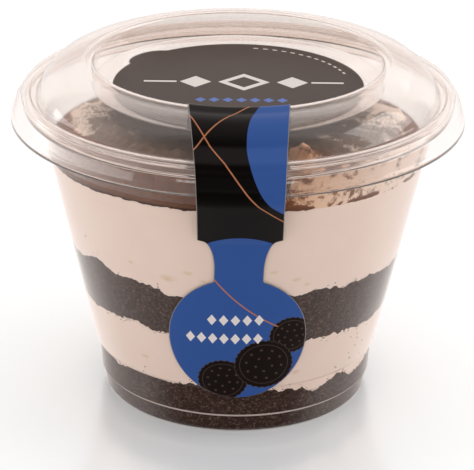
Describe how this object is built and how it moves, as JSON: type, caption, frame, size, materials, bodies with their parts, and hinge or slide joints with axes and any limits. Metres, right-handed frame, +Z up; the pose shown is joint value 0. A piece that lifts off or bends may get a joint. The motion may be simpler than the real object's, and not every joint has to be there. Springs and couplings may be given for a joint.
{
  "type": "layered tiramisu in a lidded clear pot",
  "caption": "Layers of cream and dark biscuit crumb under cocoa dusting in a tapered clear pot with a domed clear lid and a one-piece printed seal.",
  "frame": {"origin": "middle of the pot's foot, on the surface it stands on", "axes": "+Z up along the pot's axis; the seal's strip and round end face -Y; +X is to the right of someone who faces the seal"},
  "size_m": [0.099, 0.0996, 0.0767],
  "materials": {
    "clear_sheet": "clear thermoformed PET, gloss",
    "cream": "whipped mascarpone cream, soft sheen",
    "biscuit_crumb": "moist dark biscuit crumb, coarse and matt",
    "cocoa": "fine cocoa powder, matt",
    "printed_film": "printed film in black, blue and copper, satin"
  },
  "bodies": {
    "root": {"pot": "clear_sheet", "lid": "clear_sheet", "crumb_base": "biscuit_crumb", "cream_lower": "cream", "crumb_middle": "biscuit_crumb", "cream_upper": "cream", "cocoa_top": "cocoa", "seal_label": "printed_film"}
  },
  "joints": []
}
